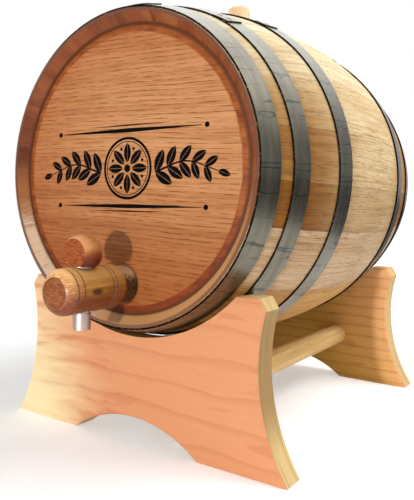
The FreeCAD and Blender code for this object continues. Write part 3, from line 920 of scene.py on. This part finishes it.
# %% [markdown]
# The two rails are round bars of the same pine, planed along the grain, so their rings and fibres show as
# long straight lines.

# %% Rails
def planed_rail():
    material, tree, place = begin("planed_pine_rail")
    bands = grain(tree, place, (3 * mm, 90 * mm, 3 * mm), 3, 4)
    fibres = grain(tree, place, (0.7 * mm, 22 * mm, 0.7 * mm), 4, 4)
    colour = add(tree, "ValToRGB", {0: bands}, stops=[(0.32, "#d9aa66"), (0.5, "#ecc684"), (0.68, "#f6d89c")])
    colour = tint(tree, colour, linear("#b07f42"), fibres, 0.5, 0.72, 0.5)
    end(tree, colour, 0.55, fibres, 0.05 * mm, Specular_IOR_Level=0.3)
    return material


dress(["stretcher_left", "stretcher_right"], planed_rail())

# %% [markdown]
# ## Floor, backdrop and light
# The cask stands on a white floor. The floor is lifted to plain white only for the camera and for mirrored
# and clear surfaces, a little near the cask and more far away, where less lamp light falls. So the shadow
# round the feet stays, and the floor puts no more light on the object. The steel of the hoops mirrors the
# floor round the cask, and beyond it a darker floor, which gives each hoop its dark band below the middle.

# %% Floor
floor_width = 30.0
near_glow = 0.40
far_glow = 0.67
glow_near_edge = 0.25
glow_far_edge = 1.3
mirror_near_edge = 0.33
mirror_far_edge = 0.43
mirror_shade = 0.85

bpy.ops.object.select_all(action="DESELECT")
bpy.ops.mesh.primitive_plane_add(size=floor_width)
floor = bpy.context.object
floor.name = "studio_floor"


def seen_by(tree, kinds, at_least=0.0):
    """1 for these kinds of rays, and another value for all the rest."""
    for kind in kinds:
        ray = add(tree, "LightPath", out=kind)
        at_least = add(tree, "Math", {0: ray, 1: at_least}, operation="MAXIMUM")
    return at_least


def white_floor():
    material, tree, place = begin("matt_white_floor")
    distance = add(tree, "VectorMath", {0: place}, "Value", operation="LENGTH")
    glow = add(tree, "MapRange",
               {0: distance, 1: glow_near_edge, 2: glow_far_edge, 3: near_glow, 4: far_glow})
    seen = seen_by(tree, ("Is Camera Ray", "Is Glossy Ray", "Is Transmission Ray"))
    strength = add(tree, "Math", {0: seen, 1: glow}, operation="MULTIPLY")
    paint = add(tree, "BsdfDiffuse", {"Color": linear("#f4f4f4")})
    light = add(tree, "Emission", {"Color": linear("#ffffff"), "Strength": strength})
    lit = add(tree, "AddShader", {0: paint, 1: light})
    shade = add(tree, "MapRange",
                {0: distance, 1: mirror_near_edge, 2: mirror_far_edge, 3: 0.0, 4: mirror_shade})
    mirrored = add(tree, "LightPath", out="Is Glossy Ray")
    shade = add(tree, "Math", {0: shade, 1: mirrored}, operation="MULTIPLY")
    add(tree, "OutputMaterial", {"Surface": add(tree, "MixShader", {0: shade, 1: lit})})
    return material


floor.data.materials.append(white_floor())
print(floor.name, "is", floor_width, "m wide")

# %% [markdown]
# A small key lamp stands low in front, nearly in line with the cask's axis, and throws the spigot's shadow
# straight back on the head. A wide soft box hangs above, to the right and a little behind, and pales the
# top of the cask and the edges of the stand. Mirrors do not see the box but the lit ceiling round it, which
# is softer.

# %% Lamps
def soft_lamp(name, place, size, power):
    """A square lamp that faces the middle of the cask."""
    data = bpy.data.lights.new(name, "AREA")
    data.shape = "SQUARE"
    data.size = size
    data.energy = power
    lamp = bpy.data.objects.new(name, data)
    bpy.context.scene.collection.objects.link(lamp)
    lamp.location = place
    lamp.rotation_mode = "QUATERNION"
    lamp.rotation_quaternion = (Vector((0, 0, axis_height)) - lamp.location).to_track_quat("-Z", "Y")
    print(name, "is", size, "m wide and gives", power, "W")
    return lamp


soft_lamp("key_lamp", place=(0.124, -1.02, 0.10), size=0.035, power=5.2)
top_box = soft_lamp("top_box", place=(0.55, 0.32, 1.00), size=0.7, power=9.5)
top_box.visible_glossy = False

# %% [markdown]
# The world is a white room that lights the cask evenly. Metal and wax mirror it, and a room that is white
# all round would make the dark steel look like bare iron. So mirrored rays see a lit ceiling, walls as
# white as the room's, and a grey wall behind the cask to the right.

# %% World
room_light = 0.40
ceiling = 2.5
grey_wall = 0.52
grey_way = Vector((0.72, 0.69, 0.0)).normalized()
wall_start, wall_full = 0.45, 0.8          # how nearly a ray points at the grey wall
ceiling_start, ceiling_full = 0.25, 0.78   # how steeply a ray points up

world = bpy.data.worlds.new("studio")
bpy.context.scene.world = world
world.use_nodes = True
room = world.node_tree
room.nodes.clear()
way = add(room, "TexCoord", out="Generated")
to_grey = add(room, "VectorMath", {0: way, 1: grey_way}, "Value", operation="DOT_PRODUCT")
wall = add(room, "MapRange", {0: to_grey, 1: wall_start, 2: wall_full, 3: 1.0, 4: grey_wall})
rise = add(room, "SeparateXYZ", {0: way}, "Z")
mirrored = add(room, "MapRange", {0: rise, 1: ceiling_start, 2: ceiling_full, 3: wall, 4: ceiling},
               interpolation_type="SMOOTHSTEP")
glossy = add(room, "LightPath", out="Is Glossy Ray")
mirrored = add(room, "Math", {0: glossy, 1: mirrored}, operation="MULTIPLY")
seen = seen_by(room, ("Is Camera Ray", "Is Transmission Ray"), at_least=mirrored)
strength = add(room, "Math", {0: seen, 1: room_light}, operation="MAXIMUM")
back = add(room, "Background", {"Color": linear("#ffffff"), "Strength": strength})
add(room, "OutputWorld", {"Surface": back})
print("the room lights the cask at", room_light, "and mirrors a ceiling at", ceiling)

# %% [markdown]
# ## Finish
# The picture is shown with the plain Standard transform, so a colour comes out as it was written.

# %% Set the view and close
bpy.context.scene.view_settings.view_transform = "Standard"
bpy.context.view_layer.update()
